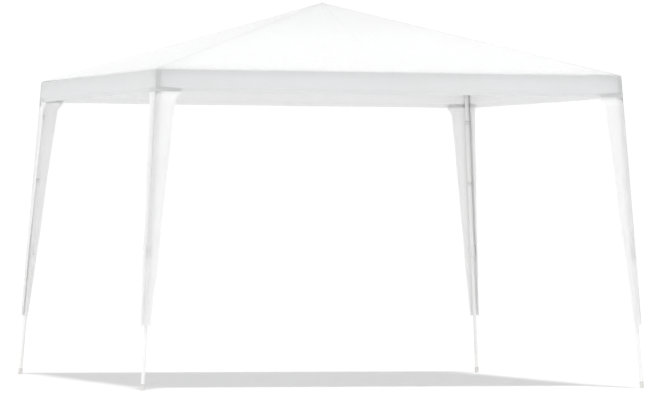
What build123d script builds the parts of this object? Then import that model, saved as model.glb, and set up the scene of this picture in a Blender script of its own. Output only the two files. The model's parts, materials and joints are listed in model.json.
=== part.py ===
"""Folding garden gazebo: a square pyramid canopy on a hub-and-knuckle frame with four telescopic legs.

Millimetres, +Z up, origin on the ground under the peak. Front is -Y, left is -X.
Each corner's chain is hub, inner rib, knuckle, outer rib, corner bracket, leg. Eave bars join the corners
and break at a link in the middle of each side. Everything is modelled at the rear right corner (+X, +Y)
and turned about the middle for the other three.
"""

from build123d import *
from math import acos, atan2, degrees, hypot, sqrt
import os

# --- Overall sizes -----------------------------------------------------------------------------------------
roof_side = 3000  # canopy width over the fabric, at the eave
eave_height = 1950  # top edge of the valance
peak_height = 2445
valance_drop = 138
leg_spread = 132  # each foot outside the top of its leg, each way, because the legs lean out

# --- Fabric ------------------------------------------------------------------------------------------------
canopy_thickness = 2  # stand-in thickness of the sheet
seam_gap = 1.0  # between neighbouring roof quarters
cover_thickness = 2
cover_top_width = 130  # each side of a leg cover, at the valance
cover_foot_width = 50
cover_end_height = 390  # the bare leg shows below this height
cover_gap = 5  # between the valance and the leg cover below it

# --- Tubes -------------------------------------------------------------------------------------------------
rib_radius = 11
rib_wall = 1.5
bar_radius = 10
bar_wall = 1.2
leg_inner_radius = 11
leg_wall = 1.5
leg_gap = 1.5  # radial, between the inner leg and the outer one
leg_outer_radius = leg_inner_radius + leg_gap + leg_wall

# --- Fits --------------------------------------------------------------------------------------------------
pin_radius = 3
pin_play = 0.05  # radial running clearance of every hinge pin
socket_play = 0.1  # radial clearance of a tube in its socket
slide_play = 0.3  # radial clearance of the inner leg in its collar
blade_play = 0.4  # each side of a blade between its two cheeks
blade_end_gap = 3  # from a blade's round end to the bottom of its slot
head_play = 0.05  # under each rivet head

# --- Hinge blades and cheeks -------------------------------------------------------------------------------
eye_wall = 6
blade_radius = pin_radius + eye_wall  # rounded end of every blade and cheek
rib_blade = 10  # thickness of a rib's end blade
rib_cheek = 4.5
bar_blade = 4  # an eave bar's flattened end
bar_cheek = 3
blade_length = 30  # from the pivot to where the tube starts
plug_length = 6  # solid plug that closes a tube behind its blade
rivet_rim = 2
rivet_head_radius = pin_radius + rivet_rim
rivet_head = 2

# --- Hub ---------------------------------------------------------------------------------------------------
hub_radius = 41
hub_reach = 55  # rib pivots from the middle
hub_below = 15  # under the pivots
hub_above = 14
hub_slot_gap = 2  # from a rib's blade to the bottom of its slot
rib_drop = 34  # pivots below the fabric's ridge at the hub
cap_radius = 40
cap_edge = 6
cap_clearance = 1.24  # where the dome comes nearest to the fabric
cap_stem_radius = 6
cap_stem_length = 12

# --- Knuckle half way along each rib -----------------------------------------------------------------------
folded_rib_gap = 6  # between the two halves when they are folded
knuckle_rise = rib_radius + folded_rib_gap / 2  # pivot above the rib's axis
inner_rib_excess = 20  # inner half longer than the outer half
knuckle_wall = 2
knuckle_grip = 50  # length of the sleeve on the inner rib
knuckle_cheek = 30  # length of the cheeks along the sleeve
knuckle_end = 11  # from the sleeve's closed end to the pivot
knuckle_end_wall = 3
outer_blade_length = 16  # from the knuckle's pivot to where the outer tube starts

# --- Telescopic leg ----------------------------------------------------------------------------------------
collar_height = 820  # lower end of the outer leg, along the leg
collar_length = 70
collar_lip = 18  # length below the outer leg that guides the inner one
collar_wall = 6
collar_radius = leg_outer_radius + collar_wall
collar_round = 2
leg_overlap = 150  # inner leg inside the outer one when fully out
foot_wall = 2.5
foot_radius = leg_inner_radius + foot_wall
foot_length = 40
foot_sole = 12
shut_gap = 10  # left between the foot and the collar when the leg is short

# --- Release button ----------------------------------------------------------------------------------------
boss_margin = 1  # between the boss and the ends of the collar's lip
boss_radius = collar_lip / 2 - boss_margin
boss_height = 7
boss_reach = collar_radius + boss_height  # from the leg axis
button_radius = 4
button_play = 0.3
button_head_radius = 7
button_head = 3
button_round = 1
button_stand = 4  # head above the boss, more than its travel
button_travel = 3
button_tip_gap = 1.5  # between the pressed stem and the inner leg
button_tip = leg_inner_radius + button_travel + button_tip_gap  # inner end of the stem

# --- Corner bracket ----------------------------------------------------------------------------------------
leg_cover_room = 2  # between the collar and the leg cover
leg_set_in = collar_radius + leg_cover_room + cover_thickness  # leg axis behind the canopy, each way
bracket_drop = 26  # bar and rib pivots below the eave
bracket_wall = 3.9
bracket_below = 45
bracket_above = 12
bracket_roof = 3
folded_leg_gap = 6  # between the collar and the rib folded against it
folded_bar_gap = 5  # between the collar and the bars folded against it
rib_pivot_reach = collar_radius + folded_leg_gap + rib_radius  # leg axis to pivot, square to the leg
bar_pivot_reach = collar_radius + folded_bar_gap + bar_radius
bracket_web = 7
cheek_root = leg_outer_radius + socket_play + bracket_wall + bracket_web  # slots between cheeks start here

# --- Link between the two eave bars of each side -----------------------------------------------------------
# Half the length between its pivots is what the folded frame leaves between its two bars.
link_half = (hub_reach + 2 * knuckle_rise + rib_pivot_reach) / hypot(1, 1) - bar_pivot_reach
link_root = link_half - blade_radius - blade_end_gap
open_slot_play = 0.8  # around the rivet that leaves the link as the frame folds
open_head_play = 0.5  # under the heads of the same rivet

# --- Where things are, at the rear right corner ------------------------------------------------------------
half_roof = roof_side / 2
foot_spacing = roof_side - 2 * leg_set_in + 2 * leg_spread  # between the middles of neighbouring feet
half_feet = foot_spacing / 2
cover_top_height = eave_height - valance_drop - cover_gap
roof_fall = peak_height - eave_height
slope = roof_fall / half_roof
outward = Vector(1, 1, 0).normalized()
rib_hinge = Vector(-1, 1, 0).normalized()  # turning about it swings the outward direction down

leg_top = Vector(half_roof - leg_set_in, half_roof - leg_set_in, eave_height)
leg_ground = Vector(half_feet, half_feet, 0)
leg_up = (leg_top - leg_ground).normalized()
leg_lean = (half_feet - leg_top.X) / eave_height  # outwards per unit of height, each way
valance_flare = valance_drop * leg_lean
bracket_along = (leg_top - leg_ground).length * (1 - bracket_drop / eave_height)
bracket_middle = leg_ground + leg_up * bracket_along

leg_inward = rib_hinge.cross(leg_up).normalized()
if leg_inward.dot(outward) > 0:
    leg_inward = leg_inward * -1
rib_pivot = bracket_middle + leg_inward * rib_pivot_reach

hub_height = peak_height - roof_fall * hub_reach / (half_roof * hypot(1, 1)) - rib_drop
hub_pivot = outward * hub_reach + Vector(0, 0, hub_height)
rib_span = (rib_pivot - hub_pivot).length
rib_along = (rib_pivot - hub_pivot).normalized()
rib_up = rib_hinge.cross(rib_along).normalized()
if rib_up.Z < 0:
    rib_up = rib_up * -1
inner_rib_length = (rib_span + inner_rib_excess) / 2
outer_rib_length = rib_span - inner_rib_length
knuckle_foot = hub_pivot + rib_along * inner_rib_length  # on the rib's axis, under the knuckle's pivot
knuckle_pivot = knuckle_foot + rib_up * knuckle_rise


def square_to_leg(direction):
    """The given level direction, tilted to be square to the leg."""
    return (direction - leg_up * direction.dot(leg_up)).normalized()


# The lead bar runs along the rear side, and the mate bar along the right side.
bar_directions = {"lead": Vector(-1, 0, 0), "mate": Vector(0, -1, 0)}
bar_pivots = {k: bracket_middle + square_to_leg(v) * bar_pivot_reach for k, v in bar_directions.items()}
bar_hinges = {k: v.cross(leg_up * -1).normalized() for k, v in bar_directions.items()}
bar_length = bar_pivots["lead"].X - link_half

# --- How far everything folds, in degrees ------------------------------------------------------------------
leg_splay = degrees(acos(leg_up.Z))
rib_slope = degrees(atan2(-rib_along.Z, hypot(rib_along.X, rib_along.Y)))
fold_angle = 90 - rib_slope  # inner rib, from its slope to hanging down
knuckle_angle = 180
corner_angle = knuckle_angle - fold_angle + leg_splay
bar_angle = degrees(acos(bar_directions["lead"].dot(leg_up * -1)))
link_angle = 90
room_below = collar_height - collar_lip - foot_length - shut_gap
room_above = bracket_along - collar_height - leg_overlap
leg_travel = min(room_below, room_above)

# --- Shared planes and outlines ----------------------------------------------------------------------------


def across(origin, along, hinge):
    """Plane square to a tube, for its section."""
    return Plane(origin=origin, x_dir=hinge, z_dir=along)


def swing(origin, along, hinge):
    """Plane that a hinged piece swings in: local x along the piece, normal along the hinge pin."""
    return Plane(origin=origin, x_dir=along, z_dir=hinge)


def ring(plane, outer, bore):
    """Section of a tube or sleeve."""
    with BuildSketch(plane) as section:
        Circle(outer)
        if bore > 0:
            Circle(bore, mode=Mode.SUBTRACT)
    return section.sketch


def blade(plane, reach, radius=blade_radius, rise=0):
    """Rounded end on a pivot, running to `reach` along local x. `rise` lifts the pivot off the tube."""
    root = reach / 2
    with BuildSketch(plane) as outline:
        with Locations((0, rise)):
            Circle(radius)
        with Locations((reach - root / 2, 0)):
            Rectangle(abs(root), 2 * radius)
        make_hull()
    return outline.sketch


def slot(plane, start, end, half_height=2 * blade_radius + knuckle_rise):
    """Rectangle between two distances along local x, for the gap between cheeks."""
    with BuildSketch(plane) as outline:
        with Locations(((start + end) / 2, 0)):
            Rectangle(abs(end - start), 2 * half_height)
    return outline.sketch


def rivet(plane, half_grip, play=head_play):
    """Headed pin, as a solid of its own. The plane's normal is the pin's axis."""
    with BuildPart() as pin:
        extrude(ring(plane, pin_radius, 0), amount=half_grip + play, both=True)
        for side in (1, -1):
            face = ring(plane.offset(side * (half_grip + play)), rivet_head_radius, 0)
            extrude(face, amount=side * rivet_head)
    return pin.part


def pieces(*solids):
    """Several solids as one node, kept apart rather than fused."""
    return Compound(children=[s for part in solids for s in part.solids()])


rib_cheek_half = rib_blade / 2 + blade_play + rib_cheek
bar_cheek_half = bar_blade / 2 + blade_play + bar_cheek

# --- Hub ---------------------------------------------------------------------------------------------------

quarter_turns = (0, 90, 180, 270)
hub_swings = [
    swing(hub_pivot.rotate(Axis.Z, turn), outward.rotate(Axis.Z, turn), rib_hinge.rotate(Axis.Z, turn))
    for turn in quarter_turns
]


def make_hub_body():
    """Round boss with four pairs of cheeks, one pair for each rib."""
    with BuildPart() as hub_body:
        with BuildSketch(Plane.XY.offset(hub_height - hub_below)):
            Circle(hub_radius)
            with PolarLocations(0, 4, start_angle=45):
                Rectangle(2 * (hub_reach + blade_radius), 2 * rib_cheek_half)
        extrude(amount=hub_below + hub_above)
        fillet(hub_body.edges().filter_by(Axis.Z).group_by(SortBy.DISTANCE)[-1], radius=rib_cheek / 2)
        for plane in hub_swings:
            gap = slot(plane, -blade_radius - hub_slot_gap, 2 * blade_radius)
            extrude(gap, amount=rib_blade / 2 + blade_play, both=True, mode=Mode.SUBTRACT)
            pin_hole = ring(plane, pin_radius + pin_play, 0)
            extrude(pin_hole, amount=2 * rib_cheek_half, both=True, mode=Mode.SUBTRACT)
        with Locations((0, 0, hub_height + hub_above)):
            Hole(cap_stem_radius + socket_play, depth=cap_stem_length + socket_play)
    return hub_body.part


def make_hub_cap():
    """Dome that carries the canopy's peak and rises until it nears the fabric, with a stem in the hub."""
    cap_base = hub_height + hub_above
    room = peak_height - (canopy_thickness + cap_clearance) * hypot(1, slope) - cap_base - cap_edge
    rise = (room + sqrt(room**2 - (slope * cap_radius) ** 2)) / (hypot(1, slope) + 1)
    crown = cap_base + cap_edge + rise
    with BuildPart() as hub_cap:
        with BuildSketch(Plane.XZ):
            with BuildLine():
                Polyline(
                    (0, cap_base - cap_stem_length),
                    (cap_stem_radius, cap_base - cap_stem_length),
                    (cap_stem_radius, cap_base),
                    (cap_radius, cap_base),
                    (cap_radius, cap_base + cap_edge),
                )
                TangentArc((0, crown), (cap_radius, cap_base + cap_edge), tangent=(1, 0))
                Line((0, crown), (0, cap_base - cap_stem_length))
            make_face()
        revolve(axis=Axis.Z)
    return hub_cap.part


def make_hub_pins():
    return pieces(*[rivet(plane, rib_cheek_half) for plane in hub_swings])


# --- Ribs --------------------------------------------------------------------------------------------------


def make_inner_rib():
    """Tube from the hub to the knuckle, with a blade on the hub's pin."""
    tube_end = inner_rib_length - knuckle_end - knuckle_end_wall - socket_play
    plane = swing(hub_pivot, rib_along, rib_hinge)
    with BuildPart() as inner_rib:
        start = hub_pivot + rib_along * blade_length
        tube = ring(across(start, rib_along, rib_hinge), rib_radius, rib_radius - rib_wall)
        extrude(tube, amount=tube_end - blade_length)
        plug = ring(across(start, rib_along, rib_hinge), rib_radius, 0)
        extrude(plug, amount=plug_length)
        extrude(blade(plane, blade_length + plug_length / 2), amount=rib_blade / 2, both=True)
        extrude(ring(plane, pin_radius + pin_play, 0), amount=rib_blade, both=True, mode=Mode.SUBTRACT)
    return inner_rib.part


def make_rib_knuckle():
    """Sleeve closed at its end, with two cheeks that lift the pivot above the rib, and its rivet."""
    plane = swing(knuckle_foot, rib_along, rib_hinge)
    sleeve_end = knuckle_foot - rib_along * knuckle_end
    sleeve_start = sleeve_end - rib_along * knuckle_grip
    bore = rib_radius + socket_play
    with BuildPart() as knuckle:
        extrude(ring(across(sleeve_start, rib_along, rib_hinge), bore + knuckle_wall, 0), amount=knuckle_grip)
        cheeks = blade(plane, -knuckle_cheek, rise=knuckle_rise)
        extrude(cheeks, amount=rib_cheek_half, both=True)
        extrude(
            slot(plane, -knuckle_end, 2 * blade_radius, 2 * knuckle_rise + blade_radius),
            amount=rib_blade / 2 + blade_play,
            both=True,
            mode=Mode.SUBTRACT,
        )
        extrude(
            ring(across(sleeve_start, rib_along, rib_hinge), bore, 0),
            amount=knuckle_grip - knuckle_end_wall,
            mode=Mode.SUBTRACT,
        )
        pin_plane = swing(knuckle_pivot, rib_along, rib_hinge)
        extrude(
            ring(pin_plane, pin_radius + pin_play, 0),
            amount=2 * rib_cheek_half,
            both=True,
            mode=Mode.SUBTRACT,
        )
    return pieces(knuckle.part, rivet(pin_plane, rib_cheek_half))


def make_outer_rib():
    """Tube from the knuckle to the corner bracket, with a raised blade at one end and a plain one."""
    start_plane = swing(knuckle_foot, rib_along, rib_hinge)
    end_plane = swing(rib_pivot, rib_along * -1, rib_hinge)
    tube_start = knuckle_foot + rib_along * outer_blade_length
    tube_length = outer_rib_length - outer_blade_length - blade_length
    with BuildPart() as outer_rib:
        tube = ring(across(tube_start, rib_along, rib_hinge), rib_radius, rib_radius - rib_wall)
        extrude(tube, amount=tube_length)
        tube_end = rib_pivot - rib_along * blade_length
        for place, direction in ((tube_start, rib_along), (tube_end, rib_along * -1)):
            extrude(ring(across(place, direction, rib_hinge), rib_radius, 0), amount=plug_length)
        raised = blade(start_plane, outer_blade_length + plug_length / 2, rise=knuckle_rise)
        extrude(raised, amount=rib_blade / 2, both=True)
        extrude(blade(end_plane, blade_length + plug_length / 2), amount=rib_blade / 2, both=True)
        for pivot in (knuckle_pivot, rib_pivot):
            hole = ring(swing(pivot, rib_along, rib_hinge), pin_radius + pin_play, 0)
            extrude(hole, amount=rib_blade, both=True, mode=Mode.SUBTRACT)
    return outer_rib.part


# --- Corner ------------------------------------------------------------------------------------------------


def make_corner_bracket():
    """Cup on top of the leg with cheeks for the rib and both eave bars. Its three rivets are own solids."""
    top = bracket_middle + leg_up * bracket_above
    bore = leg_outer_radius + socket_play
    hinges = [(leg_inward, rib_hinge, rib_pivot_reach, rib_blade / 2 + blade_play, rib_cheek)]
    for kind, direction in bar_directions.items():
        gap = bar_blade / 2 + blade_play
        hinges.append((square_to_leg(direction), bar_hinges[kind], bar_pivot_reach, gap, bar_cheek))
    rivets = []
    with BuildPart() as bracket:
        extrude(
            ring(across(top, leg_up * -1, rib_hinge), bore + bracket_wall, 0),
            amount=bracket_above + bracket_below,
        )
        for direction, hinge, reach, gap, cheek in hinges:
            plane = swing(bracket_middle + direction * reach, direction, hinge)
            extrude(blade(plane, -reach), amount=gap + cheek, both=True)
        for direction, hinge, reach, gap, cheek in hinges:
            plane = swing(bracket_middle + direction * reach, direction, hinge)
            gap_slot = slot(plane, cheek_root - reach, 2 * blade_radius)
            extrude(gap_slot, amount=gap, both=True, mode=Mode.SUBTRACT)
            pin_hole = ring(plane, pin_radius + pin_play, 0)
            extrude(pin_hole, amount=gap + 2 * cheek, both=True, mode=Mode.SUBTRACT)
            rivets.append(rivet(plane, gap + cheek))
        extrude(
            ring(across(top - leg_up * bracket_roof, leg_up * -1, rib_hinge), bore, 0),
            amount=bracket_above + bracket_below,
            mode=Mode.SUBTRACT,
        )
    return pieces(bracket.part, *rivets)


def leg_plane(along):
    """Plane square to the leg at a distance along it from the ground, its normal pointing up the leg."""
    return across(leg_ground + leg_up * along, leg_up, rib_hinge)


def make_leg_outer():
    leg_end = bracket_along + bracket_above - bracket_roof - socket_play
    with BuildPart() as leg_outer:
        section = ring(leg_plane(collar_height), leg_outer_radius, leg_outer_radius - leg_wall)
        extrude(section, amount=leg_end - collar_height)
    return leg_outer.part


def button_plane(reach):
    """Plane facing the middle of the gazebo, at a distance from the leg axis on the collar's lip."""
    height = collar_height - collar_lip / 2
    return Plane(origin=leg_ground + leg_up * height + leg_inward * reach, x_dir=rib_hinge, z_dir=leg_inward)


def make_leg_collar():
    """Ferrule on the outer leg's lower end. Its lip guides the inner leg and carries the button's boss."""
    lip_bore = leg_inner_radius + slide_play
    with BuildPart() as collar:
        extrude(ring(leg_plane(collar_height - collar_lip), collar_radius, 0), amount=collar_length)
        fillet(collar.edges().filter_by(GeomType.CIRCLE), radius=collar_round)
        extrude(ring(button_plane(lip_bore), boss_radius, 0), amount=boss_reach - lip_bore)
        extrude(
            ring(leg_plane(collar_height), leg_outer_radius + socket_play, 0),
            amount=collar_length,
            mode=Mode.SUBTRACT,
        )
        extrude(
            ring(leg_plane(collar_height - 2 * collar_lip), lip_bore, 0),
            amount=2 * collar_lip,
            mode=Mode.SUBTRACT,
        )
        extrude(
            ring(button_plane(lip_bore), button_radius + button_play, 0),
            amount=boss_reach,
            mode=Mode.SUBTRACT,
        )
    return collar.part


def make_snap_button():
    """Push button in the collar's boss. Its tip stops short of the inner leg."""
    with BuildPart() as button:
        stem_length = boss_reach + button_stand - button_tip
        extrude(ring(button_plane(button_tip), button_radius, 0), amount=stem_length)
        extrude(ring(button_plane(boss_reach + button_stand), button_head_radius, 0), amount=button_head)
        rim = button.edges().filter_by(GeomType.CIRCLE).sort_by(Axis(leg_ground, leg_inward))[-1]
        fillet(rim, radius=button_round)
    return button.part


def make_leg_inner():
    with BuildPart() as leg_inner:
        section = ring(leg_plane(foot_sole), leg_inner_radius, leg_inner_radius - leg_wall)
        extrude(section, amount=collar_height + leg_overlap - foot_sole)
    return leg_inner.part


def make_foot():
    """Cup on the inner leg, cut level where it stands on the ground."""
    with BuildPart() as foot:
        extrude(ring(leg_plane(-foot_radius), foot_radius, 0), amount=foot_length + foot_radius)
        extrude(
            ring(leg_plane(foot_sole), leg_inner_radius + socket_play, 0),
            amount=foot_length,
            mode=Mode.SUBTRACT,
        )
        split(bisect_by=Plane.XY)
    return foot.part


def cover_panel(direction, other):
    """Outline of one tapered side of a leg cover, on the plane that faces `other`."""
    edge_top = leg_ground + leg_up * ((leg_top - leg_ground).length * cover_top_height / eave_height)
    corner = edge_top + (square_to_leg(direction) + square_to_leg(other)) * -leg_set_in
    length = (cover_top_height - cover_end_height) / leg_up.Z
    along = square_to_leg(direction)
    plane = Plane(origin=corner, x_dir=along, z_dir=along.cross(leg_up * -1))
    with BuildSketch(plane) as panel:
        with BuildLine():
            Polyline((0, 0), (cover_top_width, 0), (cover_foot_width, length), (0, length), close=True)
        make_face()
    inside = 1 if plane.z_dir.dot(other) > 0 else -1
    return panel.sketch, inside


def make_leg_cover():
    """Two tapered fabric sides that meet along the leg's outer edge."""
    lead, mate = bar_directions["lead"], bar_directions["mate"]
    with BuildPart() as cover:
        for direction, other in ((lead, mate), (mate, lead)):
            outline, inside = cover_panel(direction, other)
            extrude(outline, amount=inside * cover_thickness)
    return cover.part


# --- Eave --------------------------------------------------------------------------------------------------


def make_eave_bar(kind):
    """Tube with a flattened, drilled end at each side. The mate bar keeps the rivet of the open pivot."""
    direction, hinge, pivot = bar_directions[kind], bar_hinges[kind], bar_pivots[kind]
    far_pivot = pivot + direction * bar_length
    ends = ((pivot, direction), (far_pivot, direction * -1))
    with BuildPart() as bar:
        tube_plane = across(pivot + direction * blade_length, direction, hinge)
        extrude(ring(tube_plane, bar_radius, bar_radius - bar_wall), amount=bar_length - 2 * blade_length)
        for place, along in ends:
            plug = ring(across(place + along * blade_length, along, hinge), bar_radius, 0)
            extrude(plug, amount=plug_length)
            plane = swing(place, along, hinge)
            extrude(blade(plane, blade_length + plug_length / 2), amount=bar_blade / 2, both=True)
            extrude(ring(plane, pin_radius + pin_play, 0), amount=bar_blade, both=True, mode=Mode.SUBTRACT)
    if kind == "lead":
        return bar.part
    return pieces(bar.part, rivet(swing(far_pivot, direction, hinge), bar_cheek_half, play=open_head_play))


def make_eave_link():
    """Block between the two bars of a side. One end is riveted, and the other has an open slot."""
    direction, hinge = bar_directions["lead"], bar_hinges["lead"]
    far_pivot = bar_pivots["lead"] + direction * bar_length
    middle = swing(far_pivot + direction * link_half, direction, hinge)
    with BuildPart() as link:
        with BuildSketch(middle):
            SlotCenterToCenter(2 * link_half, 2 * blade_radius)
        extrude(amount=bar_cheek_half, both=True)
        for side in (1, -1):
            gap = slot(middle, side * link_root, side * (link_half + 2 * blade_radius))
            extrude(gap, amount=bar_blade / 2 + blade_play, both=True, mode=Mode.SUBTRACT)
        riveted = ring(swing(far_pivot, direction, hinge), pin_radius + pin_play, 0)
        extrude(riveted, amount=2 * bar_cheek_half, both=True, mode=Mode.SUBTRACT)
        with BuildSketch(middle):
            with Locations((link_half + blade_radius, 0)):
                SlotCenterToCenter(2 * blade_radius, 2 * (pin_radius + open_slot_play))
        extrude(amount=2 * bar_cheek_half, both=True, mode=Mode.SUBTRACT)
    return pieces(link.part, rivet(swing(far_pivot, direction, hinge), bar_cheek_half))


# --- Canopy ------------------------------------------------------------------------------------------------


def make_canopy():
    """One quarter of the roof with its valance: half of it in section, cut on the ridge and mirrored."""
    drop = canopy_thickness * hypot(1, slope)
    hem = eave_height - valance_drop
    with BuildPart() as canopy:
        with BuildSketch(Plane.XZ.offset(-seam_gap / 2)):
            with BuildLine():
                Polyline(
                    (seam_gap / 2, peak_height - seam_gap / 2 * slope),
                    (half_roof, eave_height),
                    (half_roof + valance_flare, hem),
                    (half_roof + valance_flare - canopy_thickness, hem),
                    (half_roof - canopy_thickness, eave_height - drop + canopy_thickness * slope),
                    (seam_gap / 2, peak_height - seam_gap / 2 * slope - drop),
                    close=True,
                )
            make_face()
        extrude(amount=-(half_roof + 2 * valance_flare))
        split(bisect_by=Plane(origin=(0, 0, 0), x_dir=outward, z_dir=rib_hinge), keep=Keep.BOTTOM)
        mirror(about=Plane(origin=(0, 0, 0), x_dir=outward, z_dir=rib_hinge))
    return canopy.part


# --- Nodes -------------------------------------------------------------------------------------------------

corners = {"rear_right": 0, "rear_left": 90, "front_left": 180, "front_right": 270}
# Side and end that a corner's two eave bars belong to. The lead bar also carries that side's link.
bar_places = {
    "rear_right": {"lead": ("rear", "right"), "mate": ("right", "rear")},
    "rear_left": {"lead": ("left", "rear"), "mate": ("rear", "left")},
    "front_left": {"lead": ("front", "left"), "mate": ("left", "front")},
    "front_right": {"lead": ("right", "front"), "mate": ("front", "right")},
}


def write(shape, label):
    shape.label = label
    export_step(shape, f"parts/{label}.step")


def main():
    os.makedirs("parts", exist_ok=True)
    write(make_hub_body(), "hub_body")
    write(make_hub_cap(), "hub_cap")
    write(make_hub_pins(), "hub_pins")
    repeated = {
        "inner_rib": make_inner_rib(),
        "rib_knuckle": make_rib_knuckle(),
        "outer_rib": make_outer_rib(),
        "canopy": make_canopy(),
        "corner_bracket": make_corner_bracket(),
        "leg_outer": make_leg_outer(),
        "leg_collar": make_leg_collar(),
        "leg_cover": make_leg_cover(),
        "leg_inner": make_leg_inner(),
        "foot": make_foot(),
        "snap_button": make_snap_button(),
    }
    bars = {kind: make_eave_bar(kind) for kind in bar_directions}
    link = make_eave_link()
    for corner, turn in corners.items():
        for name, shape in repeated.items():
            write(shape.rotate(Axis.Z, turn), f"{name}_{corner}")
        for kind, (side, end) in bar_places[corner].items():
            write(bars[kind].rotate(Axis.Z, turn), f"eave_bar_{side}_{end}")
        write(link.rotate(Axis.Z, turn), f"eave_link_{bar_places[corner]['lead'][0]}")


main()
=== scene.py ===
"""Folding garden gazebo: sewn canopy, valance and leg covers on a coated folding frame.

Lengths are metres in the frame's own axes: +Z up, front at -Y, left at -X, origin on the ground under
the peak.
"""

import json
import math

import bmesh
import bpy
import numpy as np
from bpy.props import FloatProperty, FloatVectorProperty, PointerProperty
from mathutils import Matrix, Vector


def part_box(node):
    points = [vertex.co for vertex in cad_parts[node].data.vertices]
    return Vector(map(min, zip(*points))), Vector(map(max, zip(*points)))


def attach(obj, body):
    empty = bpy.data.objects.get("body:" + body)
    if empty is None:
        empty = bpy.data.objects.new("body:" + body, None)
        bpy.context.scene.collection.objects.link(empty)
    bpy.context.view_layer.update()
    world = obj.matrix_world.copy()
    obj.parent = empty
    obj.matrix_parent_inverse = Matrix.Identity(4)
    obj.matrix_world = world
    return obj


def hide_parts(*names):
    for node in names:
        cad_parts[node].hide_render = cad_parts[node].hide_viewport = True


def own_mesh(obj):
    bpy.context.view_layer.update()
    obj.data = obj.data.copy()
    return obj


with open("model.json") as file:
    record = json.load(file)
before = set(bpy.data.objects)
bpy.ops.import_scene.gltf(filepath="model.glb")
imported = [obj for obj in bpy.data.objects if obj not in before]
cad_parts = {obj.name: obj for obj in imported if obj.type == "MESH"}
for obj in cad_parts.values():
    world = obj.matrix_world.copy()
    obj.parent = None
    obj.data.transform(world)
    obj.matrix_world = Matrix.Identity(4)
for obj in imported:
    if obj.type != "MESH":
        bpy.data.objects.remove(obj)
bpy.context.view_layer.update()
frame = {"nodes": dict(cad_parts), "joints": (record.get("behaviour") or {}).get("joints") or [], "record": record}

bl_info = {
    "name": "Folding gazebo",
    "version": (1, 0, 0),
    "blender": (4, 5, 0),
    "location": "3D View > Sidebar > Gazebo",
    "description": "Builds the cloth, straps, finishes and stage of a folding garden gazebo on its frame",
    "category": "Add Mesh",
}

# --- Sizes read from the frame -----------------------------------

corner_signs = {
    "rear_right": (1, 1),
    "rear_left": (-1, 1),
    "front_left": (-1, -1),
    "front_right": (1, -1),
}
# Outward direction of each side of the square, and the direction from its middle towards each end.
side_outward = {"front": (0, -1), "rear": (0, 1), "left": (-1, 0), "right": (1, 0)}
side_ends = {
    "front": ("left", "right"),
    "rear": ("left", "right"),
    "left": ("front", "rear"),
    "right": ("front", "rear"),
}
half_sides = [(side, end) for side in side_outward for end in side_ends[side]]
joints = {joint["name"]: joint for joint in frame["joints"]}


def mesh_points(mesh):
    points = np.empty(len(mesh.vertices) * 3)
    mesh.vertices.foreach_get("co", points)
    return points.reshape(-1, 3)


def eave_corner():
    """Outer corner of the roof where it meets the valance."""
    points = mesh_points(frame["nodes"]["canopy_rear_right"].data)
    above_hem = points[points[:, 2] > points[:, 2].min() + 0.02]
    reach = above_hem[:, 0] + above_hem[:, 1]
    return above_hem[reach > reach.max() - 0.001].max(axis=0)


canopy_low, canopy_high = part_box("canopy_rear_right")
cover_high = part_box("leg_cover_rear_right")[1]
half_roof, _, eave_height = (float(value) for value in eave_corner())
peak_height = canopy_high.z
hem_height = canopy_low.z
hem_lean = canopy_high.x - half_roof
roof_slope = (peak_height - eave_height) / half_roof


def corner_of(side, end):
    """Name of the corner at one end of a side."""
    return f"{side}_{end}" if side in ("front", "rear") else f"{end}_{side}"


def leg_line(corner):
    """Point on the ground and upward direction of a leg's axis."""
    foot = next(m for m in frame["record"]["mounts"] if m["name"] == f"foot_{corner}")
    return Vector(foot["pos_m"]), Vector(joints[f"leg_slide_{corner}"]["axis"]).normalized()


# --- Settings ----------------------------------------------------


def length(name, description, default):
    return FloatProperty(
        name=name, description=description, default=default, min=0.0, unit="LENGTH", subtype="DISTANCE"
    )


def colour(name, description, default):
    return FloatVectorProperty(
        name=name, description=description, default=default, min=0.0, max=1.0, size=3, subtype="COLOR"
    )


class RoofSettings(bpy.types.PropertyGroup):
    """Shape of the sewn roof."""

    ridge_softness: length("Ridge softness", "Width over which the cloth bends across a ridge", 0.022)
    sag: length("Sag", "How far the middle of each side of the roof hangs below its ridges", 0.02)
    pull_folds: length("Pull folds", "Height of the folds that run out from the corners and the peak", 0.0022)
    eave_gathers: length("Eave gathers", "Height of the small gathers along the eave seam", 0.0012)
    unevenness: length("Unevenness", "Height of the broad waves of the cloth", 0.0035)
    cell: length("Cell", "Size of the mesh cells of the roof", 0.0125)


class ValanceSettings(bpy.types.PropertyGroup):
    """Shape of the strip that hangs from the eave."""

    ripple: length("Ripple", "How far the lower edge waves in and out", 0.0035)
    hem: length("Hem", "Width of the doubled lower edge", 0.025)


class CoverSettings(bpy.types.PropertyGroup):
    """Shape of the cloth covers at the legs."""

    flare: length("Flare", "Extra width of a cover where it runs into the valance", 0.026)
    flare_drop: length("Flare drop", "Length over which a cover widens into the valance", 0.052)
    tuck: length("Tuck", "How far a cover runs up behind the valance", 0.03)
    fold_round: length("Fold rounding", "Softness of the fold along the leg", 0.008)
    slack: length("Slack", "Height of the loose folds down the cover", 0.0026)


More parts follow.
